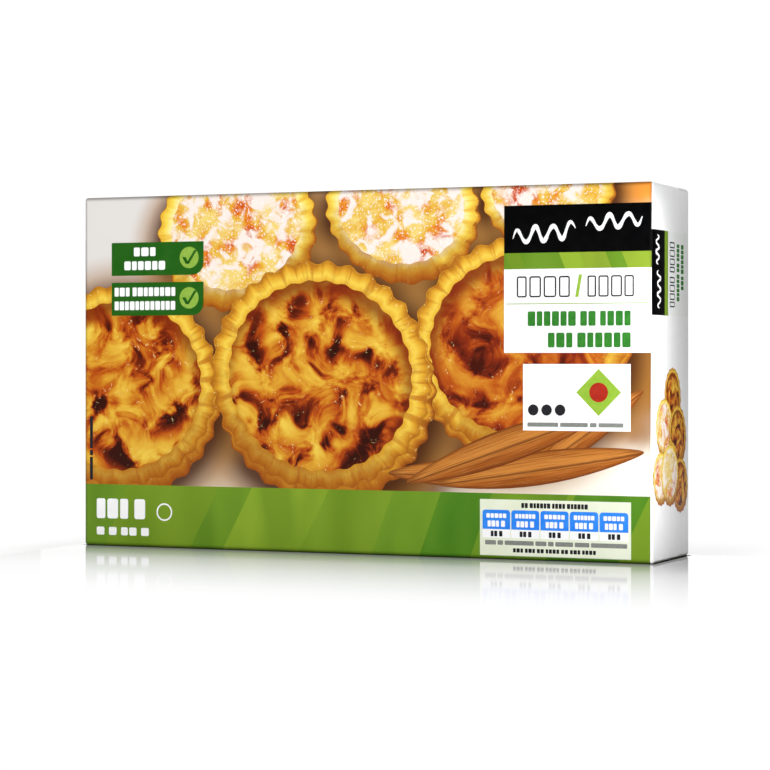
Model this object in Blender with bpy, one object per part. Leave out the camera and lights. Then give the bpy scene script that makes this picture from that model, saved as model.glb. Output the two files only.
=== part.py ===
"""A shut folding carton for six custard tarts, standing upright on its long narrow side.

One blank of coated board is folded into a sleeve that runs along X. The sleeve is lapped and glued along the
top of the back panel. Each end is closed by an outer flap that hangs on the front panel and is glued over
the flaps behind it, so its three cut edges stand one board thickness proud. The shut carton is one solid.

Metres, +Z up. The front panel faces -Y, and the origin is the middle of the base.
"""

import math
from collections import namedtuple

import bmesh
import bpy

MM = 0.001

# Overall sizes
LENGTH = 231.0 * MM  # along X, over both outer end flaps
DEPTH = 44.5 * MM  # along Y, from the front fold to the back fold
HEIGHT = 135.0 * MM  # along Z

# Board and folds
BOARD = 0.45 * MM  # thickness of the coated board
LONG_FOLD = 1.1 * MM  # outer radius of the four folds along X
END_FOLD = 1.4 * MM  # outer radius of the upright folds at the ends
BULGE = 0.4 * MM  # how far the middles of the front and the back bow out

# Cut edges
FLAP_SHORT = 2.1 * MM  # from an outer flap's free edge to the back panel
FLAP_RELIEF = 1.5 * MM  # from an outer flap's long edges to the top and to the base
FLAP_TAPER = 1.6 * MM  # what the flap's corners lose at the free edge
TAPER_LENGTH = 11.0 * MM  # how far from the free edge that loss begins
CUT_WIDTH = 0.1 * MM  # a cut edge leans by this much over one board thickness

# Fineness of the mesh
FOLD_STEPS = 5
PANEL_STEPS = 7  # from the middle of the front panel to its fold, and the same at the back
FLAP_STEPS = 6
HEIGHT_STEPS = 9

HALF_LENGTH = LENGTH / 2
HALF_DEPTH = DEPTH / 2
FREE_EDGE = HALF_DEPTH - FLAP_SHORT

# One level line round the carton. inset is how far a long fold has curled it in, reach is the outer flap's
# X, back is the back panel's Y, and taper is how far the line is bent towards mid-height at the free edge.
Ring = namedtuple("Ring", "height inset reach back taper")


def fold_rings(start, way, back):
    """The lines round a fold along X, from the panel's flat face at start to the upright walls."""
    rings = []
    for step in range(FOLD_STEPS):
        angle = math.pi / 2 * step / FOLD_STEPS
        height = start + way * LONG_FOLD * (1 - math.cos(angle))
        inset = LONG_FOLD * (1 - math.sin(angle))
        rings.append(Ring(height, inset, HALF_LENGTH - BOARD, back, 0.0))
    return rings


def carton_rings():
    """All the level lines from the base to the top. The glued lap is the change of back near the top."""
    lapped = HALF_DEPTH - BOARD
    low, high = FLAP_RELIEF, HEIGHT - FLAP_RELIEF
    rings = fold_rings(0.0, 1, HALF_DEPTH)
    rings.append(Ring(low - CUT_WIDTH, 0.0, HALF_LENGTH - BOARD, HALF_DEPTH, FLAP_TAPER))
    rings.append(Ring(low, 0.0, HALF_LENGTH, HALF_DEPTH, FLAP_TAPER))
    clear = FLAP_RELIEF + FLAP_TAPER + MM  # the plain rings stay clear of the tapered ones
    for step in range(HEIGHT_STEPS):
        height = clear + (HEIGHT - 2 * clear) * step / (HEIGHT_STEPS - 1)
        rings.append(Ring(height, 0.0, HALF_LENGTH, HALF_DEPTH, 0.0))
    rings.append(Ring(high, 0.0, HALF_LENGTH, HALF_DEPTH, -FLAP_TAPER))
    rings.append(Ring(high + CUT_WIDTH, 0.0, HALF_LENGTH - BOARD, lapped, -FLAP_TAPER))
    return rings + fold_rings(HEIGHT, -1, lapped)[::-1]


def bulge_at(x, z):
    """How far the front or back panel bows out there: nothing at the folds, BULGE in the middle."""
    across = max(0.0, 1 - (x / HALF_LENGTH) ** 2)
    up = max(0.0, 1 - (2 * z / HEIGHT - 1) ** 2)
    return BULGE * across * up


def fold_points(centre_x, centre_y, radius, first_angle):
    """The points of an upright fold, a quarter turn without its two ends."""
    angles = [first_angle + math.pi / 2 * step / FOLD_STEPS for step in range(1, FOLD_STEPS)]
    return [(centre_x + radius * math.cos(a), centre_y + radius * math.sin(a)) for a in angles]


def right_half(ring):
    """The line's points from the middle of the front, round the right end, to the middle of the back."""
    radius = END_FOLD - ring.inset
    front_y = ring.inset - HALF_DEPTH
    back_y = ring.back - ring.inset
    flap_x = ring.reach - ring.inset
    inner_x = HALF_LENGTH - BOARD - ring.inset
    front_end = ring.reach - END_FOLD
    back_end = HALF_LENGTH - BOARD - END_FOLD
    fold_y = END_FOLD - HALF_DEPTH
    steps = [step / PANEL_STEPS for step in range(PANEL_STEPS + 1)]

    front = [(front_end * s, front_y - bulge_at(front_end * s, ring.height)) for s in steps]
    front_fold = fold_points(front_end, fold_y, radius, -math.pi / 2)
    flap = [(flap_x, fold_y + (FREE_EDGE - fold_y) * step / FLAP_STEPS) for step in range(FLAP_STEPS + 1)]
    flap_foot = [(inner_x, FREE_EDGE + CUT_WIDTH)]
    inner_fold = [(inner_x, ring.back - END_FOLD)]
    inner_fold += fold_points(back_end, ring.back - END_FOLD, radius, 0.0)
    back = [(back_end * s, back_y + bulge_at(back_end * s, ring.height)) for s in reversed(steps)]
    return front + front_fold + flap + flap_foot + inner_fold + back


def ring_points(ring):
    """The whole line as 3-D points, anticlockwise from above, with the left half mirrored from the right."""
    right = right_half(ring)
    left = [(-x, y) for x, y in reversed(right[1:-1])]
    points = []
    for x, y in right + left:
        along_taper = min(1.0, max(0.0, (y - FREE_EDGE + TAPER_LENGTH) / TAPER_LENGTH))
        on_end = min(1.0, max(0.0, (abs(x) - HALF_LENGTH + END_FOLD) / (END_FOLD - BOARD)))
        points.append((x, y, ring.height + ring.taper * along_taper * on_end))
    return points


def coated_board():
    """White coated carton board with a gloss varnish."""
    material = bpy.data.materials.new("coated_board")
    material.use_nodes = True
    shader = material.node_tree.nodes["Principled BSDF"]
    shader.inputs["Base Color"].default_value = (0.87, 0.86, 0.83, 1.0)
    shader.inputs["Roughness"].default_value = 0.35
    shader.inputs["Metallic"].default_value = 0.0
    return material


def build_carton():
    """Extrudes the lowest line upwards, one ring at a time. Each corner keeps its number on the way up."""
    rings = [ring_points(ring) for ring in carton_rings()]
    bm = bmesh.new()
    number = bm.verts.layers.int.new("number")
    base = bmesh.ops.create_circle(bm, segments=len(rings[0]), radius=HALF_DEPTH)["verts"]
    for index, vert in enumerate(base):
        vert[number] = index
        vert.co = rings[0][index]
    rim = bm.edges[:]
    for points in rings[1:]:
        lifted = bmesh.ops.extrude_edge_only(bm, edges=rim)["geom"]
        rim = [item for item in lifted if isinstance(item, bmesh.types.BMEdge)]
        for item in lifted:
            if isinstance(item, bmesh.types.BMVert):
                item.co = points[item[number]]
    bmesh.ops.edgeloop_fill(bm, edges=[edge for edge in bm.edges if edge.is_boundary])
    bmesh.ops.recalc_face_normals(bm, faces=bm.faces[:])

    mesh = bpy.data.meshes.new("carton")
    bm.to_mesh(mesh)
    bm.free()
    mesh.materials.append(coated_board())
    mesh.shade_smooth()
    mesh.set_sharp_from_angle(angle=math.radians(30))
    carton = bpy.data.objects.new("carton", mesh)
    bpy.context.scene.collection.objects.link(carton)


def main():
    for old in list(bpy.data.objects):
        bpy.data.objects.remove(old, do_unlink=True)
    build_carton()


main()
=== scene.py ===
"""The looks of a shut folding carton: white coated board, litho inks under a gloss varnish, floor and light.

The print is drawn flat, as on the printer's sheet, in millimetres from the front panel's lower left corner.
It is then cut along the sheet's grid and folded round the carton, one film of ink above the other. The
sheet's x runs on past the front's two sides over the outer end flaps, which hang on the front.
"""

import math

import bmesh
import bpy
from mathutils import Matrix, Vector


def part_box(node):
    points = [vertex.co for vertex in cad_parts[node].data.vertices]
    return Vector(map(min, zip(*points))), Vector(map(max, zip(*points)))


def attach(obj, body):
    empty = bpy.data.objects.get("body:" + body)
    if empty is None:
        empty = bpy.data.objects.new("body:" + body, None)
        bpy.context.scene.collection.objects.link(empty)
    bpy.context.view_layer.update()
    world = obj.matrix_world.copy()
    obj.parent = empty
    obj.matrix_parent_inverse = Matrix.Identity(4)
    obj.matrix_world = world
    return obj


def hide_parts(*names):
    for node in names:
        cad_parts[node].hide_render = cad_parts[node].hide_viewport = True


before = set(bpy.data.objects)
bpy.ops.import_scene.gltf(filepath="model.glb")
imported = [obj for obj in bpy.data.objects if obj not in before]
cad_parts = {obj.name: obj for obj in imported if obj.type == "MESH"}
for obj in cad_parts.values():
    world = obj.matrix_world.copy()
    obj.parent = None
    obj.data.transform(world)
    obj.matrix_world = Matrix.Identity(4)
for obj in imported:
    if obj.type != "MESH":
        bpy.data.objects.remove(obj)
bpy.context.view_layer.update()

# The carton, in millimetres
MM = 0.001
LOW_CORNER, HIGH_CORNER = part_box("carton")
CAD_BULGE = 0.4  # how far the front and back bow out
INK_ROOM = 0.12  # the board is drawn this much smaller, so that the ink stays within the solid
BULGE = 0.28
W = (HIGH_CORNER.x - LOW_CORNER.x) / MM - 2 * INK_ROOM
D = (HIGH_CORNER.y - LOW_CORNER.y) / MM - 2 * CAD_BULGE
H = HIGH_CORNER.z / MM - INK_ROOM
BOARD = 0.45  # board thickness
LONG_FOLD = 1.1  # outer radius of the folds along X
END_FOLD = 1.4  # outer radius of the upright folds
FLAP_SHORT = 2.1  # from an outer flap's free edge to the back
FLAP_RELIEF = 0.9  # from an outer flap's long edges to the top and to the base
LAP_SHORT = 1.5  # from the edge of the back's lap to the top
FLAP_TAPER = 1.6
TAPER_LENGTH = 11.0

HALF_W = W / 2
HALF_D = D / 2
FREE_EDGE = HALF_D - FLAP_SHORT
FLAP_LOW = FLAP_RELIEF
FLAP_HIGH = H - FLAP_RELIEF
LAP_HIGH = H - LAP_SHORT
FOLD_STEPS = 6
NEAR = 0.01  # places closer than this count as one
FINE = 0.001  # and so do heights and walls of the board itself

# The sheet: how coarse its grid is, and how thick one film of ink is drawn
GRID = 4.8
FILM = 0.01
FILM_GAP = 0.004  # clear space under each film, so that no two faces share a place
WRAP_END = 1.7  # how far ink runs past the left fold
WRAP_LONG = 0.8  # how far it runs past the folds along X
INK_END_TOP = 0.3  # the print stops short of the right fold, and its edge leans a little
INK_END_LOW = 1.05


# Folding the sheet round the carton


def bulge(x, z):
    """How far a long panel bows out there, in millimetres."""
    across = max(0.0, 1 - ((x - HALF_W) / HALF_W) ** 2)
    up = max(0.0, 1 - (2 * z / H - 1) ** 2)
    return BULGE * across * up


def climb(z, lift):
    """How a point of the sheet goes over the folds along X: how far in from the wall, and how high."""
    if LONG_FOLD <= z <= H - LONG_FOLD:
        return -lift, z
    way = 1 if z > H / 2 else -1
    over = abs(z - H / 2) - (H / 2 - LONG_FOLD)
    angle = over / (2 * LONG_FOLD) * math.pi / 2
    radius = LONG_FOLD + lift
    height = H / 2 + way * (H / 2 - LONG_FOLD + radius * math.sin(angle))
    return LONG_FOLD - radius * math.cos(angle), height


def front(x, z, lift):
    """The front panel, and past its two sides the outer end flaps."""
    inset, height = climb(z, lift)
    side = 1 if x > HALF_W else -1
    out = abs(x - HALF_W)
    over = out - (HALF_W - END_FOLD)
    if over <= 0:
        return Vector((x - HALF_W, inset - HALF_D - bulge(x, z), height)) * MM
    if over >= 2 * END_FOLD:
        return Vector((side * (HALF_W - inset), out - HALF_W - HALF_D, height)) * MM
    angle = over / (2 * END_FOLD) * math.pi / 2
    reach = END_FOLD - inset
    turned = HALF_W - END_FOLD + reach * math.sin(angle)
    return Vector((side * turned, END_FOLD - HALF_D - reach * math.cos(angle), height)) * MM


def back(x, z, lift):
    """The back panel and its lower fold, with x from the left as it is seen from behind."""
    inset, height = climb(z, lift)
    return Vector((HALF_W - x, HALF_D + bulge(x, z) - inset, height)) * MM


def top(x, y, lift):
    """The top panel, with y from the front edge."""
    return Vector((x - HALF_W, y - HALF_D, H + lift)) * MM


def steps(low, high, count):
    return [low + (high - low) * step / count for step in range(count + 1)]


def fold_lines(length, radius):
    """The cuts that turn the sheet round the folds at both ends of a length."""
    near = steps(-radius, radius, FOLD_STEPS)
    return near + [length - line for line in near]


CUTS_ACROSS = steps(0.0, W, round(W / GRID)) + fold_lines(W, END_FOLD)
CUTS_ACROSS += [END_FOLD + BOARD, W - END_FOLD - BOARD]
CUTS_UP = steps(0.0, H, round(H / GRID)) + fold_lines(H, LONG_FOLD) + [FLAP_LOW, LAP_HIGH, FLAP_HIGH]


def cut(bm, point, normal, drop=False):
    """Cuts the mesh along a plane, and with drop throws away the side to which normal points."""
    geom = bm.verts[:] + bm.edges[:] + bm.faces[:]
    bmesh.ops.bisect_plane(bm, geom=geom, plane_co=point, plane_no=normal, clear_outer=drop)


def cut_to_grid(bm):
    """Cuts flat shapes along the sheet's grid, so that they can follow the bow and the folds."""
    for axis, lines in ((0, CUTS_ACROSS), (1, CUTS_UP)):
        reach = [vert.co[axis] for vert in bm.verts]
        normal = Vector((1 - axis, axis, 0))
        for line in lines:
            if min(reach) + NEAR < line < max(reach) - NEAR:
                cut(bm, normal * line, normal)


# Flat shapes on the sheet


def new_sheet():
    bm = bmesh.new()
    bm.loops.layers.uv.new("local")
    return bm


def add_grid(bm, left, right, low, high, columns=1):
    """A rectangle of one row, and its vertices."""
    matrix = Matrix.Translation(((left + right) / 2, (low + high) / 2, 0))
    matrix @= Matrix.Diagonal((right - left, high - low, 1, 1))
    return bmesh.ops.create_grid(bm, x_segments=columns, y_segments=1, size=0.5, matrix=matrix)["verts"]


def add_plate(bm, left, right, low, high, rounding=0.0, rounded=lambda co: True):
    """A rectangle. rounding is the radius of the corners that rounded picks."""
    verts = add_grid(bm, left, right, low, high)
    if rounding:
        corners = [vert for vert in verts if rounded(vert.co)]
        bend = {"segments": 4, "profile": 0.5, "affect": "VERTICES", "material": -1}
        bmesh.ops.bevel(bm, geom=corners, offset=rounding, **bend)


def add_slant(bm, left, right, low, high, lean):
    """A strip whose two sides lean over to the right by lean."""
    for vert in add_grid(bm, left, right, low, high):
        if vert.co.y > (low + high) / 2:
            vert.co.x += lean


def mark_local(bm, verts):
    """Writes a new shape's own flat coordinates to its UV map."""
    local = bm.loops.layers.uv["local"]
    for face in {face for vert in verts for face in vert.link_faces}:
        for loop in face.loops:
            loop[local].uv = loop.vert.co.xy


def fluted(radius, flat=1.0, turn=0.0, flutes=0, depth=0.0):
    """An ellipse with a fluted edge, as a function from an angle to a point."""
    spin = Matrix.Rotation(turn, 2)

    def edge(angle):
        reach = radius * (1 + depth * math.cos(flutes * angle))
        return spin @ Vector((reach * math.cos(angle), flat * reach * math.sin(angle)))

    return edge


def add_disc(bm, x, z, edge, segments=40):
    """A flat shape within an outline. Its local coordinates have 1 at the edge all round."""
    verts = bmesh.ops.create_circle(bm, cap_ends=True, segments=segments, radius=1.0)["verts"]
    mark_local(bm, verts)
    for vert in verts:
        point = edge(math.atan2(vert.co.y, vert.co.x))
        vert.co = Vector((x + point.x, z + point.y, 0))


def add_ring(bm, x, z, inner, outer, reach, segments):
    """The strip between two outlines. Its local coordinates go from reach at the inner one to 1."""
    rim = bmesh.ops.create_circle(bm, segments=segments, radius=1.0)["verts"]
    edges = list({edge for vert in rim for edge in vert.link_edges})
    made = bmesh.ops.extrude_edge_only(bm, edges=edges)["geom"]
    within = [item for item in made if isinstance(item, bmesh.types.BMVert)]
    for vert in within:
        vert.co *= reach
    mark_local(bm, rim)
    for verts, edge in ((rim, outer), (within, inner)):
        for vert in verts:
            point = edge(math.atan2(vert.co.y, vert.co.x))
            vert.co = Vector((x + point.x, z + point.y, 0))


POINTED = 0.45  # how much of its width a pod has lost at its points


def add_pod(bm, x, z, length, width, turn):
    """A slim pod, pointed at both ends. Its local coordinates have 1 at the edge all round."""
    verts = bmesh.ops.create_circle(bm, cap_ends=True, segments=40, radius=1.0)["verts"]
    mark_local(bm, verts)
    spin = Matrix.Rotation(turn, 2)
    for vert in verts:
        along, across = vert.co.x, vert.co.y
        pinched = across * (1 - POINTED * along * along)
        point = spin @ Vector((along * length / 2, pinched * width / 2))
        vert.co = Vector((x + point.x, z + point.y, 0))


# The widths of a line's blocks against each other, and the gaps between blocks and between groups of them
BLOCKS = (0.58, 0.5, 0.62, 0.46, 0.54)
BLOCK_GAP = 0.12
GROUP_GAP = 0.36
CORNER = 0.2  # the rounding of a block's corners, of its shorter side


def add_blocks(bm, left, right, low, high, groups, solid=False, upright=False, stroke=0.0):
    """A line of plain blocks, from left to right, as many to a group as groups says.

    solid makes one bar of each group, and stroke leaves an outline that wide of each block. upright turns the
    line a quarter, to be read from below: left and right are then its lowest and highest points.
    """
    blocks = []
    place = 0.0
    for count in groups:
        start = place
        for index in range(count):
            width = BLOCKS[(index + 2 * count) % len(BLOCKS)]
            if not solid:
                blocks.append((place, place + width))
            place += width + BLOCK_GAP
        if solid:
            blocks.append((start, place - BLOCK_GAP))
        place += GROUP_GAP - BLOCK_GAP
    stretch = (right - left) / (place - GROUP_GAP)
    for start, end in blocks:
        near, far = left + start * stretch, left + end * stretch
        sides = (low, high, near, far) if upright else (near, far, low, high)
        old = set(bm.faces)
        add_plate(bm, *sides, rounding=min(far - near, high - low) * CORNER)
        if stroke:
            block = [face for face in bm.faces if face not in old]
            outline = {"thickness": stroke, "use_boundary": True, "use_even_offset": True}
            bmesh.ops.inset_region(bm, faces=block, **outline)
            bmesh.ops.delete(bm, geom=block, context="FACES")


HUMP_STEPS = 24  # the grid's steps along each hump of a wave
UNEVEN = 0.2  # how much the humps differ in height, and how often against the wave itself
UNEVEN_BEAT = 0.7
END_THINNING = 0.75  # how much thinner the brush gets towards the ends
TURN_THINNING = 0.25  # and at the turns


def add_wave(bm, left, right, low, rise, swing, humps, thickness, upright=False):
    """A brushed wave line, thinner at its ends, which climbs by rise on its way."""
    length = right - left
    for vert in add_grid(bm, -0.5, 0.5, -0.5, 0.5, columns=int(humps * HUMP_STEPS)):
        along, side = vert.co.x + 0.5, vert.co.y
        phase = along * humps * 2 * math.pi
        swell = swing * (1 - UNEVEN + UNEVEN * math.cos(UNEVEN_BEAT * phase))
        centre = Vector((left + length * along, low + rise * along + swell * math.sin(phase), 0))
        slope = rise + swell * humps * 2 * math.pi * math.cos(phase)
        across = Vector((-slope, length, 0)).normalized()
        brush = thickness * (1 - END_THINNING * abs(2 * along - 1) ** 6)
        brush *= 1 - TURN_THINNING * math.cos(2 * phase)
        vert.co = centre + across * side * brush
        if upright:
            vert.co = Vector((2 * low - vert.co.y, vert.co.x, 0))


def trim_right(bm):
    """Cuts front shapes off at the leaning right edge of the print."""
    edge = Vector((W - INK_END_LOW, 0, 0))
    along = Vector((INK_END_LOW - INK_END_TOP, H, 0))
    cut(bm, edge, Vector((along.y, -along.x, 0)), drop=True)


def trim_left(bm):
    """Cuts front shapes off where the ink ends, just round the left fold."""
    cut(bm, Vector((-WRAP_END, 0, 0)), Vector((-1, 0, 0)), drop=True)


def trim_picture(bm):
    """Keeps front shapes within the picture, from the band to just over the top fold."""
    trim_left(bm)
    trim_right(bm)
    cut(bm, Vector((0, BAND_TOP, 0)), Vector((0, -1, 0)), drop=True)
    cut(bm, Vector((0, H + WRAP_LONG, 0)), Vector((0, 1, 0)), drop=True)


# Making pieces

SHARP = 30  # edges that turn by more degrees than this are drawn sharp


def make_piece(name, bm, materials):
    """Turns a finished bmesh into a piece that rides on the carton."""
    mesh = bpy.data.meshes.new(name)
    bm.to_mesh(mesh)
    bm.free()
    for material in materials:
        mesh.materials.append(material)
    mesh.shade_smooth()
    mesh.set_sharp_from_angle(angle=math.radians(SHARP))
    piece = bpy.data.objects.new(name, mesh)
    bpy.context.scene.collection.objects.link(piece)
    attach(piece, "root")
    return piece


def press(name, bm, film, material, place=front):
    """Prints flat shapes: gives them the thickness of one film, in its turn, and folds them into place."""
    cut_to_grid(bm)
    upper = bmesh.ops.extrude_face_region(bm, geom=bm.faces[:])["geom"]
    for item in upper:
        if isinstance(item, bmesh.types.BMVert):
            item.co.z = FILM - FILM_GAP
    for vert in bm.verts:
        vert.co = place(vert.co.x, vert.co.y, vert.co.z + (film - 1) * FILM + FILM_GAP)
    bmesh.ops.recalc_face_normals(bm, faces=bm.faces[:])
    make_piece(name, bm, [material])


def prints(name, film, material, slot, add, *shapes, place=front, finish=None, **style):
    """Prints one piece of like shapes. add draws each of them on the sheet from its numbers and the style."""
    sheet = new_sheet()
    for shape in shapes:
        add(sheet, *shape, **style)
    if finish:
        finish(sheet)
    press(name, sheet, film, material, place)


# Materials

MIX_FACTOR, MIX_A, MIX_B, MIX_RESULT = 0, 6, 7, 2  # the colour sockets of a Mix node
SRGB_KNEE, SRGB_SLOPE = 0.04045, 12.92  # where the sRGB curve turns straight, and how steep it is there


def ink(code):
    """An sRGB hex value as the linear colour that a shader reads."""
    parts = [int(code[i : i + 2], 16) / 255 for i in (1, 3, 5)]
    linear = [c / SRGB_SLOPE if c <= SRGB_KNEE else ((c + 0.055) / 1.055) ** 2.4 for c in parts]
    return (*linear, 1.0)


def per_mm(size):
    """The scale of a noise whose patches are that many millimetres wide."""
    return 1 / (size * MM)


def add_node(material, kind, inputs=None, output=0, **settings):
    """Adds a node and gives back one of its outputs, or all for None. An input is a value or an output."""
    node = material.node_tree.nodes.new("ShaderNode" + kind)
    for name, value in settings.items():
        setattr(node, name, value)
    for name, value in (inputs or {}).items():
        if isinstance(value, bpy.types.NodeSocket):
            material.node_tree.links.new(value, node.inputs[name])
        else:
            node.inputs[name].default_value = value
    return node.outputs if output is None else node.outputs[output]


def maths(material, operation, *terms):
    """A sum, whose terms are values or outputs."""
    return add_node(material, "Math", dict(enumerate(terms)), operation=operation)


def vectors(material, operation, *terms):
    """The same with vectors."""
    return add_node(material, "VectorMath", dict(enumerate(terms)), operation=operation)


def length(material, vector):
    return add_node(material, "VectorMath", {0: vector}, "Value", operation="LENGTH")


def new_material(name):
    material = bpy.data.materials.new(name)
    material.use_nodes = True
    material.node_tree.nodes.clear()
    return material


def finished(material, shader):
    """The material, with that shader as its surface."""
    add_node(material, "OutputMaterial", {"Surface": shader}, None)
    return material


def places(material):
    """The carton's own coordinates, in metres."""
    return add_node(material, "TexCoord", output="Object")


def shades(material, factor, stops):
    """Turns a number into a colour, or a grey, by a list of (position, hex value or brightness)."""
    node = material.node_tree.nodes.new("ShaderNodeValToRGB")
    material.node_tree.links.new(factor, node.inputs["Fac"])
    ramp = node.color_ramp
    while len(ramp.elements) < len(stops):
        ramp.elements.new(1.0)
    for element, (position, tone) in zip(ramp.elements, stops):
        element.position = position
        element.color = ink(tone) if isinstance(tone, str) else (tone, tone, tone, 1)
    return node.outputs["Color"]


def mottle(material, size, detail=3.0, vector=None, distortion=0.0):
    """A soft cloud pattern, from 0 to 1, with patches of that many millimetres."""
    inputs = {"Vector": vector or places(material), "Scale": per_mm(size), "Detail": detail}
    inputs.update({"Roughness": 0.55, "Distortion": distortion})
    return add_node(material, "TexNoise", inputs)


def streaks(material, local, scale):
    """A cloud pattern that is stretched along a shape's own coordinates."""
    stretched = add_node(material, "Mapping", {"Vector": local, "Scale": scale})
    return add_node(material, "TexNoise", {"Vector": stretched, "Scale": 1.0, "Detail": 4.0})


def ease(material, value, low, high, most=1.0):
    """Eases a number from 0 at low to most at high."""
    inputs = {"Value": value, "From Min": low, "From Max": high, "To Max": most}
    return add_node(material, "MapRange", inputs, interpolation_type="SMOOTHSTEP")


def overprint(material, colour, factor, code):
    """Prints a second colour over the first, as strongly as the factor says."""
    inputs = {MIX_FACTOR: factor, MIX_B: ink(code)}
    inputs[MIX_A] = ink(colour) if isinstance(colour, str) else colour
    return add_node(material, "Mix", inputs, MIX_RESULT, data_type="RGBA")


def tinge(material, colour, pattern, code, low, high, most=1.0):
    """Prints a second colour where a pattern goes from low, where there is none of it, to high."""
    return overprint(material, colour, ease(material, pattern, low, high, most), code)


# Widths and heights in mm
FIBRE = 0.7  # the board's soft unevenness, which shows through coating and ink
FIBRE_HEIGHT = 0.012
GLOSS_PATCH = 6.0  # patches where the varnish lies thicker or thinner
FOLD_SHADE_REACH = 1.9  # how far from a fold's edge the painted fold shade reaches into the face
FOLD_SHADE_FULL = 0.2

FOLD_SHADE_UNDER_INK = 0.5  # how dark the painted fold shade gets under ink
FOLD_SHADE_ON_BARE = 0.12  # and on bare board


def paint_fold_shade(material, colour, most):
    """Darkens a colour along the folds: painted shade, standing in for the shade where the folds turn away
    from the light.
    """
    folded = vectors(material, "ABSOLUTE", places(material))
    raised = vectors(material, "SUBTRACT", places(material), (0, 0, H / 2 * MM))
    sides = add_node(material, "SeparateXYZ", {"Vector": folded}, None)
    rise = add_node(material, "SeparateXYZ", {"Vector": raised}, "Z")

    def near(value, edge):
        return ease(material, value, (edge - FOLD_SHADE_REACH) * MM, (edge - FOLD_SHADE_FULL) * MM)

    along = near(sides["Y"], HALF_D)
    upright = maths(material, "MULTIPLY", near(sides["X"], HALF_W), along)
    height = near(maths(material, "ABSOLUTE", rise), H / 2)
    level = maths(material, "MULTIPLY", height, along)
    either = maths(material, "MAXIMUM", upright, level)
    depth = maths(material, "MULTIPLY", either, most)
    # Black laid over the folds: painted shade.
    return overprint(material, colour, depth, "#000000")


def varnish(material, colour, most=FOLD_SHADE_UNDER_INK):
    """Finishes a printed or coated face: water-based gloss varnish over slightly uneven board, with painted
    shade along the folds as dark as most.
    """
    height = mottle(material, FIBRE, 2.0)
    inputs = {"Height": height, "Strength": 0.35, "Distance": FIBRE_HEIGHT * MM}
    bump = add_node(material, "Bump", inputs)
    inputs = {"Value": mottle(material, GLOSS_PATCH, 2.0), "To Min": 0.3, "To Max": 0.42}
    gloss = add_node(material, "MapRange", inputs)
    inputs = {"Base Color": paint_fold_shade(material, colour, most), "Roughness": gloss, "Normal": bump}
    inputs.update({"IOR": 1.47, "Specular IOR Level": 0.15})
    return finished(material, add_node(material, "BsdfPrincipled", inputs))


def coated_board():
    """Folding boxboard with a white clay coating: even, cool white, faintly cloudy."""
    material = new_material("clay_coated_boxboard")
    colour = shades(material, mottle(material, 5.0), [(0.3, "#f5f5f6"), (0.7, "#fafafa")])
    return varnish(material, colour, FOLD_SHADE_ON_BARE)


def cut_board():
    """The cut edge of the same board: grey-brown pulp between two white skins, matt and fibrous."""
    material = new_material("cut_boxboard_edge")
    colour = shades(material, mottle(material, 0.25), [(0.3, "#a59a88"), (0.7, "#d9d2c4")])
    inputs = {"Base Color": colour, "Roughness": 0.9, "IOR": 1.45}
    return finished(material, add_node(material, "BsdfPrincipled", inputs))


def solid_ink(name, first, second, patch=3.0):
    """Litho ink as a full tone: nearly even, with the light mottling of ink on board."""
    material = new_material(name)
    return varnish(material, shades(material, mottle(material, patch), [(0.35, first), (0.65, second)]))


def tinted_green(name, low, high, patch=24.0):
    """Litho greens that run into each other in slanting clouds."""
    material = new_material(name)
    inputs = {"Vector": places(material), "Rotation": (0, -0.5, 0), "Scale": (1.0, 1.0, 0.3)}
    cloud = mottle(material, patch, 1.5, add_node(material, "Mapping", inputs))
    return varnish(material, shades(material, cloud, [(0.36, low), (0.64, high)]))


# The ground of the picture: soft fields of colour, each with its middle and half widths in mm
GROUND = "#eadfcd"
FIELDS = [
    ("#dedad6", 6, 122, 70, 56),
    ("#c9bda6", 0, 30, 26, 22),
    ("#e9c67c", 150, 112, 60, 40),
    ("#4f2206", 124, 34, 56, 24),
    ("#85500c", 214, 76, 44, 52),
    ("#f49838", 214, 138, 58, 22),
    ("#f8f1e3", 214, 28, 66, 24),
]
FIELD_SHIFT = 12  # the wandering of their edges moves them all by this much
WANDER = 0.024  # how far their edges wander, in m
WANDER_PATCH = 30.0
SHADOW = "#451d07"
HALF_SHADOW = "#a8763a"
SHADOW_SHIFT = Vector((1.0, -5.0))  # in mm
SHADOW_REACH = 1.19  # of a round's radius


def picture_ground():
    """Four-colour litho print of soft cream, amber and brown fields, shaded round the pastry."""
    material = new_material("litho_picture_ground")
    position = places(material)
    inputs = {"Vector": position, "Scale": per_mm(WANDER_PATCH), "Detail": 3.0}
    wander = add_node(material, "TexNoise", inputs, "Color")
    stray = vectors(material, "MULTIPLY_ADD", wander, (WANDER, 0.0, WANDER), position)

    def spread(source, x, z, wide, high, turn=0.0):
        """How far out a place is in an ellipse on the front, against the ellipse's own reach."""
        inputs = {
            "Vector": source,
            "Location": ((x - HALF_W) * MM, 0.0, z * MM),
            "Rotation": (0.0, -turn, 0.0),
            "Scale": (wide * MM, 1.0, high * MM),
        }
        moved = add_node(material, "Mapping", inputs, vector_type="TEXTURE")
        flat = vectors(material, "MULTIPLY", moved, (1.0, 0.0, 1.0))
        return length(material, flat)

    colour = GROUND
    for code, x, z, wide, high in FIELDS:
        distance = spread(stray, x + FIELD_SHIFT, z + FIELD_SHIFT, wide, high)
        colour = tinge(material, colour, distance, code, low=1.0, high=0.35)
    for _, x, z, radius, flat, turn, *_ in ROUNDS:
        reach = radius * SHADOW_REACH
        distance = spread(position, x + SHADOW_SHIFT.x, z + SHADOW_SHIFT.y, reach, reach * flat, turn)
        colour = tinge(material, colour, distance, HALF_SHADOW, low=1.24, high=0.98, most=0.6)
        colour = tinge(material, colour, distance, SHADOW, low=1.08, high=0.84, most=0.92)
    return varnish(material, colour)


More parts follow.
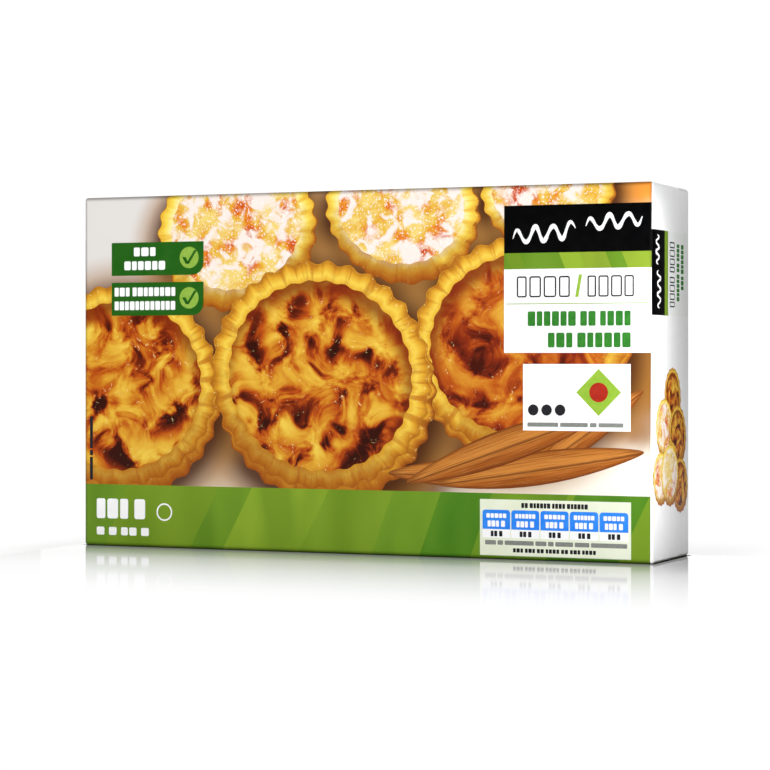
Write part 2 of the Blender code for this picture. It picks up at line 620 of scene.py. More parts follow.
def local_place(material):
    """The local coordinates of a round or pod, its distance from the middle and its Y."""
    local = add_node(material, "UVMap", uv_map="local")
    distance = length(material, local)
    return local, distance, add_node(material, "SeparateXYZ", {"Vector": local}, "Y")


def crust_print(name, stops, streak="#b9701c"):
    """Four-colour litho print of a baked rim: flaky streaks that run out from the middle, browned edges."""
    material = new_material(name)
    local, distance, upward = local_place(material)
    outward = vectors(material, "NORMALIZE", local)
    fan = vectors(material, "MULTIPLY_ADD", outward, (7.0, 7.0, 7.0), local)
    flakes = add_node(material, "TexNoise", {"Vector": fan, "Scale": 1.6, "Detail": 4.0, "Distortion": 0.6})
    unsure = maths(material, "MULTIPLY_ADD", maths(material, "SUBTRACT", flakes, 0.5), 0.12, distance)
    colour = shades(material, unsure, stops)
    colour = tinge(material, colour, flakes, streak, low=0.52, high=0.68, most=0.7)
    colour = tinge(material, colour, mottle(material, 1.6, 4.0), "#f7df80", low=0.6, high=0.7, most=0.5)
    lower = maths(material, "MULTIPLY_ADD", mottle(material, 7.0, 4.0), 1.4, upward)
    return varnish(material, tinge(material, colour, lower, "#9a4b0d", low=0.75, high=-0.3, most=0.72))


BURNT = [
    (0.35, "#330c02"),
    (0.41, "#6f2105"),
    (0.46, "#b34a0e"),
    (0.52, "#cb7f1e"),
    (0.59, "#dda734"),
    (0.7, "#eac64c"),
]
AMBER = [(0.35, "#420f03"), (0.43, "#832707"), (0.5, "#b5500f"), (0.58, "#cb7d20"), (0.7, "#e0ad3c")]


def filling_print(name, stops, arms, twist, grain=12.0):
    """Four-colour litho print of a glazed swirl: melting golds and ambers, scorched in places."""
    material = new_material(name)
    local, distance, upward = local_place(material)
    aside = add_node(material, "SeparateXYZ", {"Vector": local}, "X")
    angle = maths(material, "ARCTAN2", upward, aside)
    cloud = mottle(material, grain, 6.0, distortion=0.8)
    spokes = maths(material, "MULTIPLY", angle, arms)
    turns = maths(material, "MULTIPLY_ADD", distance, twist, spokes)
    stirred = maths(material, "MULTIPLY_ADD", cloud, 9.0, turns)
    waved = maths(material, "SINE", stirred)
    outer = maths(material, "MULTIPLY", waved, distance)
    tone = maths(material, "MULTIPLY_ADD", outer, 0.07, cloud)
    colour = shades(material, tone, stops)
    glints = mottle(material, 2.4, 5.0, distortion=1.5)
    colour = tinge(material, colour, glints, "#fbe9a4", low=0.64, high=0.72, most=0.6)
    cast = maths(material, "MULTIPLY_ADD", upward, 0.12, distance)
    return varnish(material, tinge(material, colour, cast, "#7b2706", low=0.84, high=1.06, most=0.85))


def sugared_print():
    """Four-colour litho print of a pale top under icing sugar: white drifts, amber where it has melted."""
    material = new_material("litho_sugared_top")
    stops = [(0.34, "#c94a0e"), (0.42, "#df7f22"), (0.5, "#e3b23c"), (0.6, "#edcf74")]
    colour = shades(material, mottle(material, 10.0, 5.0), stops)
    drift = mottle(material, 6.0, 6.0, distortion=0.6)
    colour = tinge(material, colour, drift, "#f3e6de", low=0.46, high=0.6)
    specks = mottle(material, 0.9, 2.0)
    return varnish(material, tinge(material, colour, specks, "#faf1e8", low=0.58, high=0.64, most=0.85))


def pod_print():
    """Four-colour litho print of dried pods: warm brown, veined lengthwise, with a seam and a light side."""
    material = new_material("litho_dried_pod")
    local, distance, upward = local_place(material)
    lit = maths(material, "MULTIPLY_ADD", upward, 0.5, 0.5)
    stops = [(0.0, "#7e3d10"), (0.25, "#a65a1b"), (0.55, "#c98238"), (0.8, "#b8702a"), (1.0, "#8d4a15")]
    colour = shades(material, lit, stops)
    veins = streaks(material, local, (1.6, 14.0, 1.0))
    colour = tinge(material, colour, veins, "#6f330c", low=0.5, high=0.62, most=0.65)
    fibres = streaks(material, local, (3.0, 40.0, 1.0))
    colour = tinge(material, colour, fibres, "#e0a25a", low=0.55, high=0.68, most=0.5)
    seam = maths(material, "ABSOLUTE", maths(material, "ADD", upward, 0.12))
    colour = tinge(material, colour, seam, "#4f2108", low=0.09, high=0.02, most=0.7)
    return varnish(material, tinge(material, colour, distance, "#6a2f0c", low=0.8, high=1.0, most=0.7))


# The board


def board_block(bm):
    """The folded board as far as the inner end flaps and the glue flap reach, with all its folds."""
    ends, glued = HALF_W - BOARD, HALF_D - BOARD
    matrix = Matrix.Translation((0, (glued - HALF_D) / 2, H / 2))
    matrix @= Matrix.Diagonal((2 * ends, glued + HALF_D, H, 1))
    bmesh.ops.create_cube(bm, size=1.0, matrix=matrix)
    bend = {"segments": FOLD_STEPS, "profile": 0.5, "affect": "EDGES", "material": -1}
    upright = [edge for edge in bm.edges if abs(edge.verts[0].co.z - edge.verts[1].co.z) > H / 2]
    bmesh.ops.bevel(bm, geom=upright, offset=END_FOLD, **bend)
    rims = [edge for edge in bm.edges if abs(edge.verts[0].co.z - edge.verts[1].co.z) < FINE]
    bmesh.ops.bevel(bm, geom=rims, offset=LONG_FOLD, **bend)


def raise_faces(bm, faces, offset):
    """Moves a patch of the skin outwards and walls its edge. Gives back the walls."""
    made = bmesh.ops.extrude_face_region(bm, geom=faces)["geom"]
    moved = [item for item in made if isinstance(item, bmesh.types.BMVert)]
    lifted = {item for item in made if isinstance(item, bmesh.types.BMFace)}
    bmesh.ops.delete(bm, geom=faces, context="FACES_ONLY")
    bmesh.ops.translate(bm, verts=moved, vec=offset)
    return {face for vert in moved for face in vert.link_faces} - lifted


def middle(face):
    return face.calc_center_median()


def raise_lap(bm):
    """The back panel and its fold stand one board proud of the glue flap. Gives back the cut edge."""
    fold = HALF_D - BOARD - END_FOLD
    lap = [face for face in bm.faces if middle(face).y > fold + NEAR and middle(face).z < LAP_HIGH]
    walls = raise_faces(bm, lap, Vector((0, BOARD, 0)))
    return [face for face in walls if abs(middle(face).z - LAP_HIGH) < NEAR]


def raise_flap(bm, side):
    """An outer end flap and the whole upright fold that it hangs on. Gives back the flap's cut edges."""
    fold = HALF_W - BOARD - END_FOLD
    flap = []
    for face in bm.faces:
        place = middle(face)
        tall_enough = FLAP_LOW < place.z < FLAP_HIGH or place.y < END_FOLD - HALF_D
        if side * place.x > fold + NEAR and place.y < FREE_EDGE and tall_enough:
            flap.append(face)
    walls = raise_faces(bm, flap, Vector((side * BOARD, 0, 0)))
    return [face for face in walls if middle(face).y > END_FOLD - HALF_D - NEAR]


def taper_flaps(bm):
    """Slants the long edges of both outer flaps inwards near the free edge."""
    for vert in bm.verts:
        on_flap = abs(vert.co.x) > HALF_W - BOARD - NEAR
        along = (vert.co.y - FREE_EDGE + TAPER_LENGTH) / TAPER_LENGTH
        if on_flap and 0 < along < 1 + NEAR:
            for line, way in ((FLAP_LOW, 1), (FLAP_HIGH, -1)):
                if abs(vert.co.z - line) < NEAR:
                    vert.co.z += way * FLAP_TAPER * along


def bow_panels(bm):
    """Bows the long panels out."""
    across = steps(-HALF_W, HALF_W, round(W / GRID))
    up = steps(0, H, round(H / GRID))
    for axis, lines in ((0, across), (2, up)):
        normal = Vector((axis == 0, 0, axis == 2))
        for line in lines[1:-1]:
            cut(bm, normal * line, normal)
    for vert in bm.verts:
        swell = bulge(vert.co.x + HALF_W, vert.co.z)
        if vert.co.y < -HALF_D + FINE:
            vert.co.y -= swell
        elif vert.co.y > HALF_D - BOARD - FINE:
            vert.co.y += swell


def board():
    """The whole carton of board."""
    bm = bmesh.new()
    board_block(bm)
    for line in (FLAP_LOW, LAP_HIGH, FLAP_HIGH):
        cut(bm, Vector((0, 0, line)), Vector((0, 0, 1)))
    for line in (FREE_EDGE, FREE_EDGE - TAPER_LENGTH):
        cut(bm, Vector((0, line, 0)), Vector((0, 1, 0)))
    edges = raise_lap(bm) + raise_flap(bm, -1) + raise_flap(bm, 1)
    for face in edges:
        face.material_index = 1
    taper_flaps(bm)
    bow_panels(bm)
    bmesh.ops.dissolve_degenerate(bm, dist=FINE, edges=bm.edges[:])
    for vert in bm.verts:
        vert.co *= MM
    bmesh.ops.recalc_face_normals(bm, faces=bm.faces[:])
    piece = make_piece("carton_board", bm, [WHITE, cut_board()])
    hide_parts("carton")


# Inks that several pieces share

WHITE = coated_board()
BLACK = solid_ink("litho_black", "#010102", "#040405")
DARK = solid_ink("litho_dark_grey", "#1c1c20", "#26262b", 1.0)
SMALL = solid_ink("litho_small_print_grey", "#7c7f7a", "#868983", 1.0)
GREEN_TEXT = solid_ink("litho_text_green", "#2a7426", "#37822c", 2.0)
BADGE = solid_ink("litho_badge_green", "#1c5a12", "#265f18", 5.0)
LIME = solid_ink("litho_lime", "#88b034", "#94b83e", 2.0)
DISC = solid_ink("litho_leaf_green", "#86ae3e", "#92b54c", 2.0)
BAND_MID = tinted_green("litho_band_green", "#698b1f", "#7a9928")
BAND_DARK = tinted_green("litho_band_dark_green", "#437818", "#55861f", 14.0)
BAND_DEEP = tinted_green("litho_band_deep_green", "#5e851f", "#6f9526", 16.0)
BAND_LIME = tinted_green("litho_band_lime", "#729224", "#8dab2f", 18.0)
STRIP_MID = tinted_green("litho_strip_green", "#5c861b", "#6b9326", 16.0)
STRIP_LIGHT = tinted_green("litho_light_lime", "#738e26", "#89a22e", 14.0)
TINT = solid_ink("litho_pale_green_tint", "#e1e8cf", "#e9edd9", 12.0)
PALE = solid_ink("litho_pale_grey_tint", "#f0f2f0", "#f4f5f3", 9.0)
BLUE = solid_ink("litho_blue", "#2480ee", "#358cf2", 4.0)
RED = solid_ink("litho_red", "#a02114", "#aa2b1b", 2.0)

# The front's print, in mm from its lower left corner
BAND_TOP = 23.8
LABEL_LEFT = 174.7
BLACK_LOW = 110.4
BLACK_HIGH = 127.5
STRIP_LOW = 104.6
WHITE_LOW = 74.5


# The band's facets: for each strip its left, its right and how far it leans over
FACETS = (
    ("deep", BAND_DEEP, ((-20, 9, 10), (46, 60, 13), (122, 141, 9), (161, 190, 9))),
    ("dark", BAND_DARK, ((141, 161, 9), (190, 217.4, 12))),
    ("lime", BAND_LIME, ((60, 92, 13),)),
)


def front_ground():
    """The picture's ground, which the rest of the picture is printed on."""
    box = (-WRAP_END, W, BAND_TOP, H + WRAP_LONG)
    prints("front_picture_ground", 1, picture_ground(), "picture_ink", add_plate, box, finish=trim_right)


def band(prefix, place, trim):
    """The green band, with slanting facets of darker and lighter green."""

    def trim_facets(bm):
        trim(bm)
        trim_left(bm)

    box = (-WRAP_END, W, -WRAP_LONG, BAND_TOP)
    prints(prefix + "_band", 1, BAND_MID, "green_ink", add_plate, box, place=place, finish=trim)
    style = {"place": place, "finish": trim_facets}
    for name, material, strips in FACETS:
        strips = [(left, right, -WRAP_LONG, BAND_TOP - NEAR, lean) for left, right, lean in strips]
        prints(prefix + "_band_" + name, 2, material, "green_ink", add_slant, *strips, **style)


# The picture's rounds: name, middle, radius, flatness, turn, flutes, film, and the filling's swirl
ROUNDS = [
    ("upper_left", 66, 122, 33, 0.84, 0.25, 26, 2, None),
    ("upper_middle", 134, 128, 30, 0.82, -0.15, 24, 2, None),
    ("upper_right", 191, 134, 25, 0.8, 0.1, 22, 2, None),
    ("right", 180, 78, 41, 0.92, 0.3, 30, 3, (AMBER, 6, 12.0)),
    ("middle", 101, 66, 45, 0.93, -0.3, 32, 5, (BURNT, 7, 14.0)),
    ("left", 16, 62, 42, 0.92, 0.15, 30, 4, (BURNT, 5, -11.0)),
]
RIM_WIDTH = 0.16  # of the radius
SIDE_DROP = Vector((0.035, -0.11))  # how far a round's side shows below its rim, of the radius
LEAST_SIDE = 0.008
RIM_FLUTE = 0.022  # how deep the flutes are, of the radius
FILLING_FLUTE = 0.012
MOST_SEGMENTS = 160
SEGMENTS = 16  # of an outline, for each mm of its radius

GOLD_RIM = [(0.8, "#8f440c"), (0.83, "#dfa42b"), (0.89, "#efcc4c"), (0.95, "#dca02a"), (1.0, "#ab6a17")]
PALE_RIM = [(0.8, "#eac04c"), (0.85, "#faeaa2"), (0.92, "#f6da58"), (1.0, "#e5b030")]
BAKED_SIDE = [(0.82, "#c98a24"), (0.86, "#d89e2c"), (0.94, "#b96f1b"), (1.0, "#7a3a0b")]
SIDE_START = 0.84


def add_pastry(prefix, film, materials, x, z, radius, finish=None, **shape):
    """One round of pastry, all of it in one film: its filling, its rim and the side that shows."""
    segments = min(MOST_SEGMENTS, int(SEGMENTS * radius))
    filling_edge = fluted(radius * (1 - RIM_WIDTH), depth=FILLING_FLUTE, **shape)
    rim_edge = fluted(radius, depth=RIM_FLUTE, **shape)

    def side_edge(angle):
        point = rim_edge(angle)
        way = point.normalized()
        return point + way * radius * max(LEAST_SIDE, way.dot(SIDE_DROP))

    filling, rim, side = new_sheet(), new_sheet(), new_sheet()
    add_disc(filling, x, z, filling_edge, segments)
    add_ring(rim, x, z, filling_edge, rim_edge, 1 - RIM_WIDTH, segments)
    add_ring(side, x, z, rim_edge, side_edge, SIDE_START, segments)
    for name, sheet, material in zip(("_side", "_rim", "_filling"), (side, rim, filling), materials):
        if finish:
            finish(sheet)
        press(prefix + name, sheet, film, material)


GOLD = crust_print("litho_gold_crust", GOLD_RIM)
PALE_CRUST = crust_print("litho_pale_crust", PALE_RIM, "#e6b33c")
SIDE = crust_print("litho_baked_side", BAKED_SIDE, "#8f4d12")
SUGAR = sugared_print()
END_GOLD = (SIDE, GOLD, filling_print("litho_filling_small", BURNT, 4, 9.0, 3.0))
END_SUGARED = (SIDE, PALE_CRUST, SUGAR)


def front_rounds():
    """Fluted rounds of pastry, in a loose cluster, with swirled or sugared fillings."""
    for name, x, z, radius, flat, turn, flutes, film, swirl in ROUNDS:
        filling = filling_print("litho_filling_" + name, *swirl) if swirl else SUGAR
        materials = (SIDE, GOLD if swirl else PALE_CRUST, filling)
        shape = {"flat": flat, "turn": turn, "flutes": flutes}
        add_pastry("round_" + name, film, materials, x, z, radius, trim_picture, **shape)


# The pods: middle, length, width and turn
PODS = [(176, 41, 84, 12.5, 0.34), (188, 33, 80, 12, 0.16), (164, 31, 70, 11, 0.02), (206, 46, 52, 10, 0.62)]


TOP_POD_FILM = 9  # the first pod lies on top


def front_pods():
    """A fan of dried pods at the lower right."""
    material = pod_print()
    for index, pod in enumerate(PODS):
        name = "pod_%d" % (index + 1)
        prints(name, TOP_POD_FILM - index, material, "picture_ink", add_pod, pod, finish=trim_picture)


# The label's facets, as left and right
STRIP_FACETS = (
    ("label_strip_facets", BAND_MID, ((177.2, 183),)),
    ("label_strip_lime", BAND_LIME, ((198, 206),)),
    ("label_strip_lights", STRIP_LIGHT, ((206, 215.5), (221.5, 240))),
)
STRIP_LEAN = -2.4
# Waves: left, right, starting height, rise, swing and humps
LABEL_WAVES = ((178.1, 201.9, 115.6, 3.4, 3.2, 3.5), (205.8, 226.8, 119.6, 3.0, 2.8, 3.0))
LABEL_BRUSH = 1.45
# Lines of blocks: left, right, low, high and groups
TITLE = ((179.6, 199.8, 94.4, 102.0, (4,)), (206.4, 223.7, 94.4, 102.0, (4,)))
TITLE_STROKE = 0.55
SUBTITLE = ((183.8, 222.5, 84.1, 89.4, (6, 2, 4)), (191.5, 222.5, 76.4, 81.7, (3, 6)))
TITLE_MARK = (201.8, 203.0, 94.4, 102.4, 1.4)
LABEL_RULE = (175.6, 229.2, 91.95, 92.25)


def front_label():
    """The label column: black, green and white fields, with waves, outlines and blocks on them."""
    for name, material, slot, low, high in (
        ("label_black", BLACK, "label_ink", BLACK_LOW, BLACK_HIGH),
        ("label_strip", STRIP_MID, "green_ink", STRIP_LOW, BLACK_LOW),
        ("label_white", WHITE, "printed_board", WHITE_LOW, STRIP_LOW),
    ):
        prints(name, 10, material, slot, add_plate, (LABEL_LEFT, W, low, high), finish=trim_right)
    for name, material, facets in STRIP_FACETS:
        facets = [(left, right, STRIP_LOW, BLACK_LOW, STRIP_LEAN) for left, right in facets]
        prints(name, 11, material, "green_ink", add_slant, *facets, finish=trim_right)
    prints("label_name_place", 11, WHITE, "printed_board", add_wave, *LABEL_WAVES, thickness=LABEL_BRUSH)
    prints("label_title", 11, DARK, "label_ink", add_blocks, *TITLE, stroke=TITLE_STROKE)
    prints("label_title_mark", 11, LIME, "green_ink", add_slant, TITLE_MARK)
    prints("label_rule", 11, BAND_LIME, "green_ink", add_plate, LABEL_RULE)
    prints("label_subtitle", 11, GREEN_TEXT, "green_ink", add_blocks, *SUBTITLE)


EMBLEM_SQUARE = (182.0, 222.5, 46.6, 70.5)
EMBLEM_BARS = (183.7, 219.8, 48.0, 49.5, (9, 8, 2, 7))
# Its dots, its diamond and its disc: middle and radius
EMBLEM_DOTS = ((185.9, 54.0, 2.0), (191.0, 54.0, 2.0), (196.1, 54.0, 2.0))
EMBLEM_DIAMOND = (210.6, 60.4, 8.4)
EMBLEM_DISC = (210.6, 60.4, 3.5)


def add_spot(bm, x, z, radius, segments=40):
    """A plain disc, or with four segments a diamond."""
    add_disc(bm, x, z, fluted(radius), segments)


def front_emblem():
    """A white square with a plain device of dots, bars, a diamond and a disc."""
    prints("emblem_square", 10, WHITE, "printed_board", add_plate, EMBLEM_SQUARE)
    prints("emblem_dots", 11, DARK, "label_ink", add_spot, *EMBLEM_DOTS)
    prints("emblem_lines", 11, SMALL, "label_ink", add_blocks, EMBLEM_BARS, solid=True)
    prints("emblem_diamond", 11, LIME, "green_ink", add_spot, EMBLEM_DIAMOND, segments=4)
    prints("emblem_disc", 12, RED, "label_ink", add_spot, EMBLEM_DISC)


# The panel of cells at the lower right
PANEL = (165.3, 222.6, 1.3, 21.6)
CELL_LEFT = 166.3
CELL_STEP = 11.15
CELL_WIDTH = 10.7
FOOT_LOW = 7.7
HEAD_LOW = 10.8
HEAD_HIGH = 17.8
# A cell's lines of blocks: how far in from its left and its right, low and high
CELL_TOP_LINE = (1.5, 1.5, 14.9, 16.5)
CELL_MIDDLE_LINE = (2.0, 2.0, 11.7, 13.9)
CELL_LOW_LINE = (3.2, 3.0, 8.2, 10.2)
PANEL_LINES = ((181.3, 206.5, 18.7, 20.5, (2, 6, 4, 6)), (178.1, 209.5, 2.6, 4.1, (3, 3, 2, 4, 2, 3, 4)))
PANEL_BARS = (167.3, 221.2, 5.2, 6.8, (4, 2, 10, 4, 2, 6, 5, 12))


def nutrition():
    """A panel of five blue cells with white feet on a pale ground, with plain blocks and bars."""
    prints("nutrition_panel", 3, TINT, "green_ink", add_plate, PANEL)
    heads, feet, pale, dark = new_sheet(), new_sheet(), new_sheet(), new_sheet()
    for cell in range(5):
        left = CELL_LEFT + CELL_STEP * cell
        right = left + CELL_WIDTH
        add_plate(heads, left, right, HEAD_LOW, HEAD_HIGH, 1.1, lambda co: co.y > (HEAD_LOW + HEAD_HIGH) / 2)
        add_plate(feet, left, right, FOOT_LOW, HEAD_LOW)
        for sheet, line, groups in (
            (pale, CELL_TOP_LINE, (5 + cell % 2,)),
            (pale, CELL_MIDDLE_LINE, (3, 1)),
            (dark, CELL_LOW_LINE, (2, 1)),
        ):
            add_blocks(sheet, left + line[0], right - line[1], *line[2:], groups)
    for line in PANEL_LINES:
        add_blocks(dark, *line)
    press("nutrition_cells", heads, 4, BLUE)
    press("nutrition_cell_feet", feet, 4, WHITE)
    press("nutrition_cell_figures", pale, 5, WHITE)
    press("nutrition_lines", dark, 5, DARK)
    prints("nutrition_small_print", 5, SMALL, "label_ink", add_blocks, PANEL_BARS, solid=True)


# The badges: lower edge, and the left, right and groups of each one's upper and lower line of blocks
BADGES = ((104.4, (22.1, 31.6, (3,)), (17.9, 35.8, (6,))), (89.0, (13.6, 40.2, (3, 8)), (13.6, 40.2, (12,))))
BADGE_LEFT = 12.3
BADGE_RIGHT = 52.4
BADGE_HEIGHT = 12.7
BADGE_CORNER = 4.6  # the rounding of its lower right corner
BADGE_DISC = (46.2, 6.6, 4.1)  # middle, from the badge's lower edge up, and radius


def front_badges():
    """Two dark green badges with a ticked lime disc each."""
    boxes, discs, ticks, lines = new_sheet(), new_sheet(), new_sheet(), new_sheet()
    for low, (upper_left, upper_right, upper), (lower_left, lower_right, lower) in BADGES:
        box = (BADGE_LEFT, BADGE_RIGHT, low, low + BADGE_HEIGHT)
        add_plate(boxes, *box, BADGE_CORNER, lambda co: co.x > BADGE_RIGHT - 1 and co.y < low + 1)
        across, up, radius = BADGE_DISC
        add_spot(discs, across, low + up, radius)
        add_slant(ticks, 44.7, 46.2, low + 4.2, low + 6.8, -1.5)
        add_slant(ticks, 44.9, 46.1, low + 4.2, low + 9.4, 3.5)
        add_blocks(lines, upper_left, upper_right, low + 7.4, low + 10.8, upper)
        add_blocks(lines, lower_left, lower_right, low + 2.1, low + 5.5, lower)
    press("badge_boxes", boxes, 10, BADGE)
    press("badge_discs", discs, 11, DISC)
    press("badge_ticks", ticks, 12, BADGE)
    press("badge_lines", lines, 11, WHITE)


UPRIGHT_BARS = (25.5, 50.0, 2.6, 3.9, (8, 2, 11))


def front_small_print():
    """Two white lines of blocks with a ring at the lower left, and small upright bars at the left edge."""
    sheet = new_sheet()
    add_blocks(sheet, 5.6, 27.0, 10.6, 18.3, (3, 1))
    add_ring(sheet, 35.4, 13.6, fluted(2.8), fluted(3.4), 0.8, 40)
    add_blocks(sheet, 5.6, 28.6, 4.2, 7.3, (1, 1, 2, 1))
    press("weight_lines", sheet, 3, WHITE)
    prints("upright_line", 9, DARK, "label_ink", add_blocks, UPRIGHT_BARS, solid=True, upright=True)


# An end's print, in mm from the front edge and up
END_LOW, END_HIGH = 87.8, 118.1
END_START = -0.42  # the end's black begins where the front's print ends
END_BLACK = 13.6
END_GREEN = 17.6
END_FAR = 41.9
# Its upright waves: low, high, place across, rise, swing and humps
END_WAVES = ((90.3, 103.8, 7.4, 1.2, 2.2, 3.5), (105.8, 116.4, 5.8, 1.2, 2.0, 3.0))
END_BRUSH = 1.1
# Its upright lines of blocks: name, ink, stroke, and each line's low, high, near side, far side and groups
END_LINES = (
    ("_title", DARK, 0.5, ((90.9, 114.4, 19.6, 25.4, (4, 4)),)),
    ("_subtitle", GREEN_TEXT, 0.0, ((93.2, 113.8, 28.0, 31.2, (6, 2, 4)), (97.4, 113.8, 33.2, 36.4, (3, 6)))),
)
# The small picture's rounds: middle, radius, whether sugared, and first film
END_ROUNDS = [
    (23.0, 59, 9.5, False, 1),
    (13.0, 48, 9.5, True, 2),
    (29.0, 45, 10.0, False, 3),
    (8.8, 30, 8.5, True, 4),
    (32.0, 27, 9.0, False, 5),
    (19.6, 31, 10.0, True, 6),
]


def end_print(prefix, across):
    """An end flap's print. across turns millimetres from the front edge into the sheet's x."""

    def between(near, far):
        return sorted((across(near), across(far)))

    for name, material, slot, near, far in (
        ("_panel", PALE, "printed_board", END_GREEN, END_FAR),
        ("_black", BLACK, "label_ink", END_START, END_BLACK),
        ("_strip", BAND_MID, "green_ink", END_BLACK, END_GREEN),
    ):
        prints(prefix + name, 1, material, slot, add_plate, (*between(near, far), END_LOW, END_HIGH))
    waves = [(low, high, across(y), *bends) for low, high, y, *bends in END_WAVES]
    style = {"thickness": END_BRUSH, "upright": True}
    prints(prefix + "_name_place", 2, WHITE, "printed_board", add_wave, *waves, **style)
    for name, material, stroke, lines in END_LINES:
        lines = [(low, high, *between(near, far), groups) for low, high, near, far, groups in lines]
        style = {"stroke": stroke, "upright": True}
        prints(prefix + name, 2, material, "label_ink", add_blocks, *lines, **style)
    for number, (y, z, radius, sugared, film) in enumerate(END_ROUNDS):
        materials = END_SUGARED if sugared else END_GOLD
        name = prefix + "_round_%d" % (number + 1)
        add_pastry(name, film, materials, across(y), z, radius, flat=1.05, turn=0.2, flutes=18)


LINES = ((7, 3, 9, 5, 8, 2, 6), (4, 10, 6, 3, 7, 5, 8), (9, 2, 5, 8, 4, 7, 6), (5, 8, 3, 10, 6, 2, 7))
# Shares of a line's step, or of a block's width
BAR_HEIGHT = 0.3
HEADING_LOW = 1.1
HEADING_HIGH = 0.2
HEADING_WIDTH = 0.6
LAST_SHORT = 0.35  # how much shorter the last line is
RAGGED = 0.02  # and how much the others differ


def text_block(prefix, place, left, right, low, high, count):
    """Lines of plain bars under a green heading of blocks."""
    step = (high - low) / count
    width = right - left
    bars = new_sheet()
    for index in range(count - 2):
        base = low + step * index
        short = width * (LAST_SHORT if index == 0 else RAGGED * (index % 3))
        groups = LINES[index % len(LINES)]
        add_blocks(bars, left, right - short, base, base + step * BAR_HEIGHT, groups, solid=True)
    press(prefix + "_lines", bars, 1, DARK, place)
    ends = (left, left + width * HEADING_WIDTH)
    heading = (*ends, high - step * HEADING_LOW, high - step * HEADING_HIGH, (6, 2, 4))
    prints(prefix + "_heading", 1, GREEN_TEXT, "green_ink", add_blocks, heading, place=place)


HALF_RULE = 0.1  # half of a rule's thickness
ROW_START = 0.3  # shares of a row's height
ROW_BAR = 0.38
COLUMNS = (0.62, 0.84)  # where the columns of short blocks start, of the table's width


def table(prefix, place, left, right, low, high, rows):
    """A ruled table of plain bars."""
    rules, bars = new_sheet(), new_sheet()
    step = (high - low) / rows
    for index in range(rows + 1):
        add_plate(rules, left, right, low + step * index - HALF_RULE, low + step * index + HALF_RULE)
    for index in range(rows):
        base = low + step * (index + ROW_START)
        heights = (base, base + step * ROW_BAR)
        end = left + 18 + 5 * (index % 3)
        add_blocks(bars, left + 1.5, end, *heights, (5 + index % 4, 3), solid=True)
        for column in COLUMNS:
            start = left + (right - left) * column
            add_blocks(bars, start, start + 7, *heights, (3, 1))
    press(prefix + "_rules", rules, 2, BAND_MID, place)
    press(prefix + "_words", bars, 2, DARK, place)


# The label in one row, from its left: where its fields end, and the two ends of its lines of blocks
ROW_BLACK = 46
ROW_STRIP = 52
ROW_LENGTH = 106
ROW_LINE = (58, 100)


def name_label(prefix, place, left, low, high):
    """The label of the front, laid in one row: black, green and pale fields with waves and blocks."""
    middle_line = (low + high) / 2
    for name, material, slot, start, end in (
        ("_black", BLACK, "label_ink", 0, ROW_BLACK),
        ("_strip", BAND_LIME, "green_ink", ROW_BLACK, ROW_STRIP),
        ("_pale", PALE, "printed_board", ROW_STRIP, ROW_LENGTH),
    ):
        box = (left + start, left + end, low, high)
        prints(prefix + name, 1, material, slot, add_plate, box, place=place)
    waves = (
        (left + 4, left + 24, middle_line - 1.5, 2.4, 2.4, 3.5, 1.2),
        (left + 26, left + 42, middle_line + 0.5, 2.0, 2.0, 3.0, 1.2),
    )
    prints(prefix + "_name_place", 2, WHITE, "printed_board", add_wave, *waves, place=place)
    ends = [left + end for end in ROW_LINE]
    title = (*ends, middle_line + 1.6, middle_line + 6.6, (4, 4))
    prints(prefix + "_title", 2, DARK, "label_ink", add_blocks, title, place=place, stroke=0.5)
    subtitle = (*ends, middle_line - 6.0, middle_line - 2.4, (6, 2, 4, 3))
    prints(prefix + "_subtitle", 2, GREEN_TEXT, "green_ink", add_blocks, subtitle, place=place)


BACK_MARGIN = 2.1  # the back's print stops short of its upright folds
BACK_INSET = 12  # from the back's sides to its label and table


def back_print():
    """The back, finished like the front: the band, the label, lines of bars and a table."""

    def trim_sides(bm):
        cut(bm, Vector((BACK_MARGIN, 0, 0)), Vector((-1, 0, 0)), drop=True)
        cut(bm, Vector((W - BACK_MARGIN, 0, 0)), Vector((1, 0, 0)), drop=True)

    band("back", back, trim_sides)
    name_label("back_label", back, W - ROW_LENGTH - BACK_INSET, 100, 118)
    text_block("back_text", back, BACK_INSET, 102, 34, 118, 15)
    ground = (113, W - BACK_INSET, 34, 92)
    prints("back_table_ground", 1, TINT, "green_ink", add_plate, ground, place=back)
    table("back_table", back, 116, W - 15, 37, 89, 9)


def build():
    board()
    back_print()
    name_label("top_label", top, 62, 12.5, 32.0)
    front_ground()
    band("front", front, trim_right)
    front_rounds()
    front_pods()
    front_label()
    front_emblem()
    nutrition()
    front_badges()
    front_small_print()
    end_print("right_end", lambda y: W + y)
    end_print("left_end", lambda y: -y)


# Camera, floor and light

LENS = 117.14  # mm on a 36 mm sensor
YAW = math.radians(23.67)
CAMERA_HEIGHT = 72.4
CAMERA_ASIDE = 94.4  # the near corner is this far right of the line of sight
CAMERA_AWAY = 881.8
HORIZON_SHIFT = -0.0342


def camera():
    """A level camera to the right of the carton, as in the photograph."""
    data = bpy.data.cameras.new("camera")
    data.lens = LENS
    data.sensor_width = 36.0
    data.shift_y = HORIZON_SHIFT
    data.clip_start = 0.01
    seen = bpy.data.objects.new("camera", data)
    bpy.context.scene.collection.objects.link(seen)
    right = Vector((math.cos(YAW), math.sin(YAW), 0))
    ahead = Vector((-math.sin(YAW), math.cos(YAW), 0))
    corner = Vector((HALF_W, -HALF_D, CAMERA_HEIGHT))
    seen.location = (corner - CAMERA_ASIDE * right - CAMERA_AWAY * ahead) * MM
    seen.rotation_euler = (math.pi / 2, 0, YAW)
    bpy.context.scene.camera = seen


